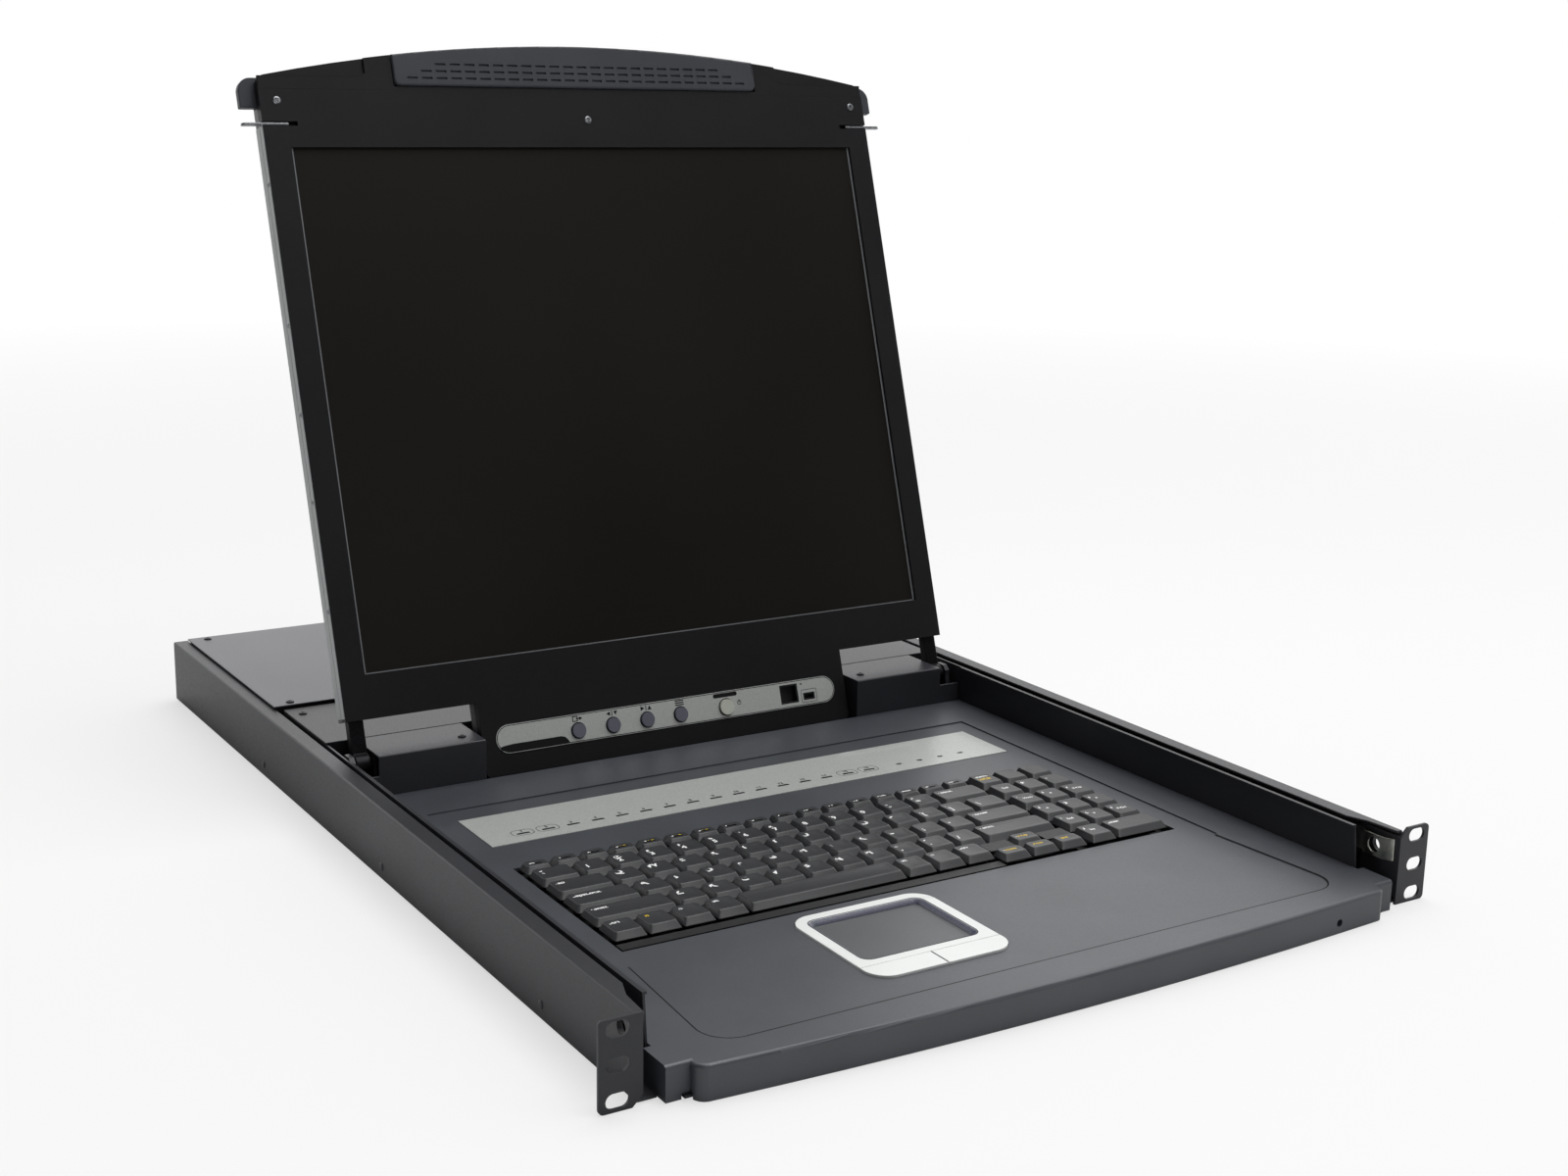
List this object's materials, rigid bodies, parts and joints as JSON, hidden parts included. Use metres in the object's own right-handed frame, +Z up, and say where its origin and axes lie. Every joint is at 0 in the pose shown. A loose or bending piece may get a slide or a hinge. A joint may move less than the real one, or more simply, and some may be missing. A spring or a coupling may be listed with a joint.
{
  "type": "rackmount lcd console drawer",
  "caption": "Sliding rack drawer with a keyboard deck and touchpad, and a hinged flat screen lid with a handle grip, latches and rack ears.",
  "frame": {"origin": "middle of the rack-ear slots, on the front plane of the ears", "axes": "+X to the right seen from the front, +Y into the rack, +Z up"},
  "size_m": [0.4826, 0.6844, 0.4292],
  "materials": {
    "coated_steel": "fine matt powder coat",
    "cover_steel": "fine matt powder coat",
    "drawer_steel": "fine matt powder coat",
    "hinge_cover_steel": "fine matt powder coat",
    "zinc_plate": "bright zinc plate",
    "tab_steel": "black coat",
    "slide_steel": "zinc plate",
    "deck_plastic": "fine grain",
    "key_plastic": "satin",
    "plate_plastic": "matt",
    "white_plastic": "satin",
    "pad_plastic": "matt",
    "silver_foil": "silver print, satin",
    "lamp_window": "dark windows",
    "bezel_plastic": "fine grain",
    "lid_back_plastic": "fine matt coat",
    "grip_plastic": "fine grain",
    "screen_surface": "anti-glare film",
    "button_plastic": "satin",
    "power_button_plastic": "satin",
    "socket_plastic": "matt",
    "cast_metal": "black die casting",
    "circuit_board": "solder mask",
    "supply_steel": "plain sheet",
    "socket_metal": "plated shell",
    "inlet_plastic": "matt",
    "rocker_plastic": "satin"
  },
  "bodies": {
    "chassis": {"side_channel_left": "coated_steel", "side_channel_right": "coated_steel", "rack_ear_left": "coated_steel", "rack_ear_right": "coated_steel", "latch_strikes": "zinc_plate", "outer_slides": "slide_steel", "rear_housing": "coated_steel", "rear_top_cover": "cover_steel", "rear_panel": "coated_steel", "power_entry_module": "inlet_plastic", "station_sockets": "socket_metal", "main_circuit_board": "circuit_board", "power_supply": "supply_steel"},
    "rocker": {"power_rocker": "rocker_plastic"},
    "middle_slide": {"middle_slides": "slide_steel"},
    "drawer": {"base_tray": "drawer_steel", "keyboard_deck": "deck_plastic", "inner_slides": "slide_steel", "hinge_cover_left": "hinge_cover_steel", "hinge_cover_right": "hinge_cover_steel", "rear_deck_plate": "drawer_steel", "hinge_bracket_left": "drawer_steel", "hinge_bracket_right": "drawer_steel", "keyboard_plate": "plate_plastic", "touchpad_frame": "white_plastic", "touchpad_surface": "pad_plastic", "indicator_strip": "silver_foil", "indicator_lights": "lamp_window", "controller_board": "circuit_board"},
    "lid": {"lid_bezel": "bezel_plastic", "lid_back_cover": "lid_back_plastic", "lcd_panel": "screen_surface", "lid_control_board": "circuit_board", "osd_strip": "silver_foil", "service_sockets": "socket_plastic", "handle_grip": "grip_plastic", "hinge_arm_left": "cast_metal", "hinge_arm_right": "cast_metal"},
    "catch_left": {"release_catch_left": "grip_plastic", "latch_tab_left": "tab_steel"},
    "catch_right": {"release_catch_right": "grip_plastic", "latch_tab_right": "tab_steel"},
    "function_row_keys": {"function_row_keys": "key_plastic"},
    "number_row_keys": {"number_row_keys": "key_plastic"},
    "upper_row_keys": {"upper_row_keys": "key_plastic"},
    "home_row_keys": {"home_row_keys": "key_plastic"},
    "shift_row_keys": {"shift_row_keys": "key_plastic"},
    "bottom_row_keys": {"bottom_row_keys": "key_plastic"},
    "space_bar": {"space_bar": "key_plastic"},
    "number_pad_keys": {"number_pad_keys": "key_plastic"},
    "touchpad_button_left": {"touchpad_button_left": "white_plastic"},
    "touchpad_button_right": {"touchpad_button_right": "white_plastic"},
    "osd_button_1": {"osd_button_1": "button_plastic"},
    "osd_button_2": {"osd_button_2": "button_plastic"},
    "osd_button_3": {"osd_button_3": "button_plastic"},
    "osd_button_4": {"osd_button_4": "button_plastic"},
    "lcd_power_button": {"lcd_power_button": "power_button_plastic"}
  },
  "joints": [
    {"name": "drawer_slide", "type": "slide", "parent": "chassis", "child": "drawer", "axis": [0, -1, 0], "range_m": [0, 0.43]},
    {"name": "middle_slide_travel", "type": "slide", "parent": "chassis", "child": "middle_slide", "axis": [0, -1, 0], "range_m": [0, 0.215]},
    {"name": "lid_hinge", "type": "hinge", "parent": "drawer", "child": "lid", "pos_m": [0, 0.381, 0.011], "axis": [1, 0, 0], "range_deg": [-8, 107.8]},
    {"name": "power_rocker_tilt", "type": "hinge", "parent": "chassis", "child": "rocker", "pos_m": [-0.165, 0.6574, 0], "axis": [1, 0, 0], "range_deg": [-8, 8]},
    {"name": "catch_left_slide", "type": "slide", "parent": "lid", "child": "catch_left", "axis": [1, 0, 0], "range_m": [0, 0.004], "stiffness_N_per_m": 400, "springref_m": -0.002},
    {"name": "catch_right_slide", "type": "slide", "parent": "lid", "child": "catch_right", "axis": [-1, 0, 0], "range_m": [0, 0.004], "stiffness_N_per_m": 400, "springref_m": -0.002},
    {"name": "function_row_press", "type": "slide", "parent": "drawer", "child": "function_row_keys", "axis": [0, 0, -1], "range_m": [0, 0.002], "stiffness_N_per_m": 600, "springref_m": -0.002},
    {"name": "number_row_press", "type": "slide", "parent": "drawer", "child": "number_row_keys", "axis": [0, 0, -1], "range_m": [0, 0.002], "stiffness_N_per_m": 600, "springref_m": -0.002},
    {"name": "upper_row_press", "type": "slide", "parent": "drawer", "child": "upper_row_keys", "axis": [0, 0, -1], "range_m": [0, 0.002], "stiffness_N_per_m": 600, "springref_m": -0.002},
    {"name": "home_row_press", "type": "slide", "parent": "drawer", "child": "home_row_keys", "axis": [0, 0, -1], "range_m": [0, 0.002], "stiffness_N_per_m": 600, "springref_m": -0.002},
    {"name": "shift_row_press", "type": "slide", "parent": "drawer", "child": "shift_row_keys", "axis": [0, 0, -1], "range_m": [0, 0.002], "stiffness_N_per_m": 600, "springref_m": -0.002},
    {"name": "bottom_row_press", "type": "slide", "parent": "drawer", "child": "bottom_row_keys", "axis": [0, 0, -1], "range_m": [0, 0.002], "stiffness_N_per_m": 600, "springref_m": -0.002},
    {"name": "space_bar_press", "type": "slide", "parent": "drawer", "child": "space_bar", "axis": [0, 0, -1], "range_m": [0, 0.002], "stiffness_N_per_m": 600, "springref_m": -0.002},
    {"name": "number_pad_press", "type": "slide", "parent": "drawer", "child": "number_pad_keys", "axis": [0, 0, -1], "range_m": [0, 0.002], "stiffness_N_per_m": 600, "springref_m": -0.002},
    {"name": "touchpad_button_left_press", "type": "slide", "parent": "drawer", "child": "touchpad_button_left", "axis": [0, 0, -1], "range_m": [0, 0.0006], "stiffness_N_per_m": 600, "springref_m": -0.001},
    {"name": "touchpad_button_right_press", "type": "slide", "parent": "drawer", "child": "touchpad_button_right", "axis": [0, 0, -1], "range_m": [0, 0.0006], "stiffness_N_per_m": 600, "springref_m": -0.001},
    {"name": "osd_button_1_press", "type": "slide", "parent": "lid", "child": "osd_button_1", "axis": [0, 0.9521, -0.3057], "range_m": [0, 0.0008], "stiffness_N_per_m": 300, "springref_m": -0.001},
    {"name": "osd_button_2_press", "type": "slide", "parent": "lid", "child": "osd_button_2", "axis": [0, 0.9521, -0.3057], "range_m": [0, 0.0008], "stiffness_N_per_m": 300, "springref_m": -0.001},
    {"name": "osd_button_3_press", "type": "slide", "parent": "lid", "child": "osd_button_3", "axis": [0, 0.9521, -0.3057], "range_m": [0, 0.0008], "stiffness_N_per_m": 300, "springref_m": -0.001},
    {"name": "osd_button_4_press", "type": "slide", "parent": "lid", "child": "osd_button_4", "axis": [0, 0.9521, -0.3057], "range_m": [0, 0.0008], "stiffness_N_per_m": 300, "springref_m": -0.001},
    {"name": "lcd_power_button_press", "type": "slide", "parent": "lid", "child": "lcd_power_button", "axis": [0, 0.9521, -0.3057], "range_m": [0, 0.0008], "stiffness_N_per_m": 300, "springref_m": -0.001}
  ],
  "couplings": [
    {"joint": "middle_slide_travel", "follows": "drawer_slide", "ratio": 0.5}
  ]
}
